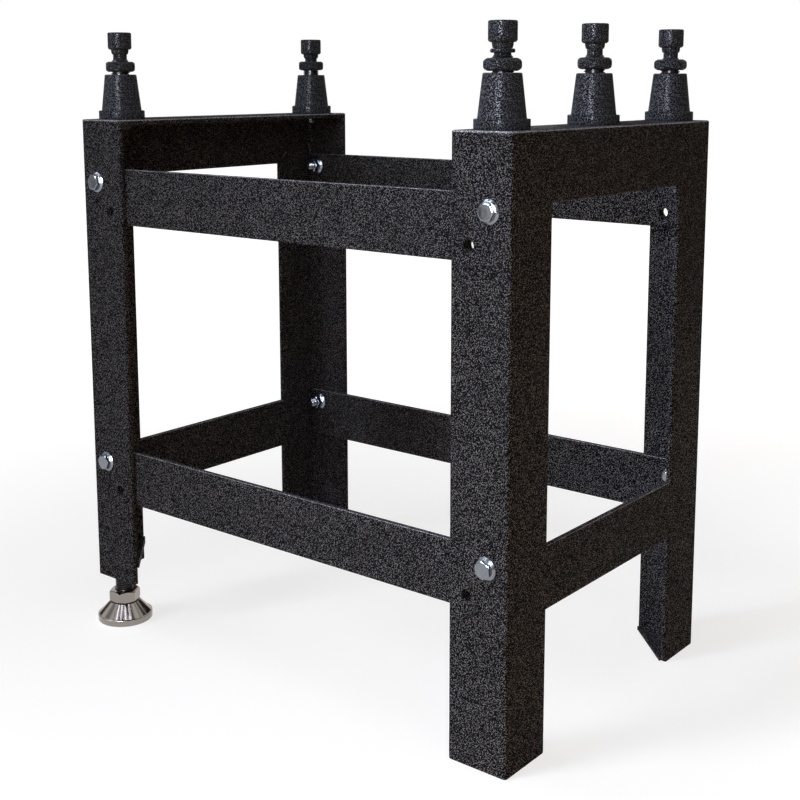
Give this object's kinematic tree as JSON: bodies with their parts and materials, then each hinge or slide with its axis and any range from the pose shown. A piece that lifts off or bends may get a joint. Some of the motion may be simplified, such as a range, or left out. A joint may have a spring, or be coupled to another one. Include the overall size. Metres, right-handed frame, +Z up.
{
  "type": "surface plate stand",
  "caption": "Black hammertone steel stand for a surface plate: welded angle end frames, bolted flat rails, screw supports with lock nuts and swivel caps, and a levelling foot.",
  "frame": {"origin": "bottom centre of the stand's box at rest, on the floor", "axes": "+Z up, -Y towards the front with the levelling foot at its left, +X along the rails to the end frame with three supports"},
  "size_m": [0.5706, 0.3792, 0.6608],
  "materials": {
    "frame_paint": "black hammertone powder coat",
    "support_paint": "black hammertone powder coat on turned steel",
    "screw_steel": "black oxide on a cut thread",
    "zinc_plate": "bright zinc plating",
    "chrome_plate": "polished chrome plating on turned steel"
  },
  "bodies": {
    "frame": {"front_lower_left_bolt": "zinc_plate", "front_lower_left_nut": "zinc_plate", "front_lower_rail": "frame_paint", "front_lower_right_bolt": "zinc_plate", "front_lower_right_nut": "zinc_plate", "front_top_left_bolt": "zinc_plate", "front_top_left_nut": "zinc_plate", "front_top_rail": "frame_paint", "front_top_right_bolt": "zinc_plate", "front_top_right_nut": "zinc_plate", "left_end_bar": "frame_paint", "left_front_boss": "support_paint", "left_front_foot_plate": "frame_paint", "left_front_leg": "frame_paint", "left_rear_boss": "support_paint", "left_rear_foot_plate": "frame_paint", "left_rear_leg": "frame_paint", "left_top_beam": "frame_paint", "rear_lower_left_bolt": "zinc_plate", "rear_lower_left_nut": "zinc_plate", "rear_lower_rail": "frame_paint", "rear_lower_right_bolt": "zinc_plate", "rear_lower_right_nut": "zinc_plate", "rear_top_left_bolt": "zinc_plate", "rear_top_left_nut": "zinc_plate", "rear_top_rail": "frame_paint", "rear_top_right_bolt": "zinc_plate", "rear_top_right_nut": "zinc_plate", "right_end_bar": "frame_paint", "right_front_boss": "support_paint", "right_front_foot_plate": "frame_paint", "right_front_leg": "frame_paint", "right_middle_boss": "support_paint", "right_rear_boss": "support_paint", "right_rear_foot_plate": "frame_paint", "right_rear_leg": "frame_paint", "right_top_beam": "frame_paint"},
    "left_front_cap": {"left_front_cap": "support_paint"},
    "left_front_screw": {"left_front_screw": "screw_steel"},
    "left_front_lock_nut": {"left_front_lock_nut": "support_paint"},
    "left_rear_cap": {"left_rear_cap": "support_paint"},
    "left_rear_screw": {"left_rear_screw": "screw_steel"},
    "left_rear_lock_nut": {"left_rear_lock_nut": "support_paint"},
    "right_front_cap": {"right_front_cap": "support_paint"},
    "right_front_screw": {"right_front_screw": "screw_steel", "right_front_ring": "support_paint"},
    "right_front_lock_nut": {"right_front_lock_nut": "support_paint"},
    "right_middle_cap": {"right_middle_cap": "support_paint"},
    "right_middle_screw": {"right_middle_screw": "screw_steel"},
    "right_middle_lock_nut": {"right_middle_lock_nut": "support_paint"},
    "right_rear_cap": {"right_rear_cap": "support_paint"},
    "right_rear_screw": {"right_rear_screw": "screw_steel"},
    "right_rear_lock_nut": {"right_rear_lock_nut": "support_paint"},
    "foot_base": {"foot_base": "chrome_plate"},
    "foot_stud": {"foot_stud": "chrome_plate"}
  },
  "joints": [
    {"name": "left_front_height", "type": "slide", "parent": "frame", "child": "left_front_cap", "axis": [0, 0, 1], "range_m": [-0.0024, 0.025]},
    {"name": "left_front_turn", "type": "hinge", "parent": "left_front_cap", "child": "left_front_screw", "pos_m": [-0.24325, -0.1491, 0.568], "axis": [0, 0, 1], "range_deg": [-347, 3601]},
    {"name": "left_front_lock_nut_turn", "type": "hinge", "parent": "left_front_screw", "child": "left_front_lock_nut", "pos_m": [-0.24325, -0.1491, 0.6183], "axis": [0, 0, 1], "continuous": true},
    {"name": "left_rear_height", "type": "slide", "parent": "frame", "child": "left_rear_cap", "axis": [0, 0, 1], "range_m": [-0.0054, 0.025]},
    {"name": "left_rear_turn", "type": "hinge", "parent": "left_rear_cap", "child": "left_rear_screw", "pos_m": [-0.24325, 0.1529, 0.568], "axis": [0, 0, 1], "range_deg": [-779, 3601]},
    {"name": "left_rear_lock_nut_turn", "type": "hinge", "parent": "left_rear_screw", "child": "left_rear_lock_nut", "pos_m": [-0.24325, 0.1529, 0.6213], "axis": [0, 0, 1], "continuous": true},
    {"name": "right_front_height", "type": "slide", "parent": "frame", "child": "right_front_cap", "axis": [0, 0, 1], "range_m": [-0.001, 0.025]},
    {"name": "right_front_turn", "type": "hinge", "parent": "right_front_cap", "child": "right_front_screw", "pos_m": [0.25375, -0.1491, 0.568], "axis": [0, 0, 1], "range_deg": [-145, 3601]},
    {"name": "right_front_lock_nut_turn", "type": "hinge", "parent": "right_front_screw", "child": "right_front_lock_nut", "pos_m": [0.25375, -0.1491, 0.6169], "axis": [0, 0, 1], "continuous": true},
    {"name": "right_middle_height", "type": "slide", "parent": "frame", "child": "right_middle_cap", "axis": [0, 0, 1], "range_m": [-0.0032, 0.025]},
    {"name": "right_middle_turn", "type": "hinge", "parent": "right_middle_cap", "child": "right_middle_screw", "pos_m": [0.25375, 0.0019, 0.568], "axis": [0, 0, 1], "range_deg": [-462, 3601]},
    {"name": "right_middle_lock_nut_turn", "type": "hinge", "parent": "right_middle_screw", "child": "right_middle_lock_nut", "pos_m": [0.25375, 0.0019, 0.6191], "axis": [0, 0, 1], "continuous": true},
    {"name": "right_rear_height", "type": "slide", "parent": "frame", "child": "right_rear_cap", "axis": [0, 0, 1], "range_m": [-0.0029, 0.025]},
    {"name": "right_rear_turn", "type": "hinge", "parent": "right_rear_cap", "child": "right_rear_screw", "pos_m": [0.25375, 0.1529, 0.568], "axis": [0, 0, 1], "range_deg": [-419, 3601]},
    {"name": "right_rear_lock_nut_turn", "type": "hinge", "parent": "right_rear_screw", "child": "right_rear_lock_nut", "pos_m": [0.25375, 0.1529, 0.6188], "axis": [0, 0, 1], "continuous": true},
    {"name": "foot_height", "type": "slide", "parent": "frame", "child": "foot_base", "axis": [0, 0, -1], "range_m": [-0.015, 0.02]},
    {"name": "foot_turn", "type": "hinge", "parent": "foot_base", "child": "foot_stud", "pos_m": [-0.25475, -0.1591, 0], "axis": [0, 0, -1], "range_deg": [-2161, 2881]}
  ],
  "couplings": [
    {"joint": "left_front_turn", "follows": "left_front_height", "rad_per_m": 2513.3},
    {"joint": "left_rear_turn", "follows": "left_rear_height", "rad_per_m": 2513.3},
    {"joint": "right_front_turn", "follows": "right_front_height", "rad_per_m": 2513.3},
    {"joint": "right_middle_turn", "follows": "right_middle_height", "rad_per_m": 2513.3},
    {"joint": "right_rear_turn", "follows": "right_rear_height", "rad_per_m": 2513.3},
    {"joint": "foot_turn", "follows": "foot_height", "rad_per_m": 2513.3}
  ]
}
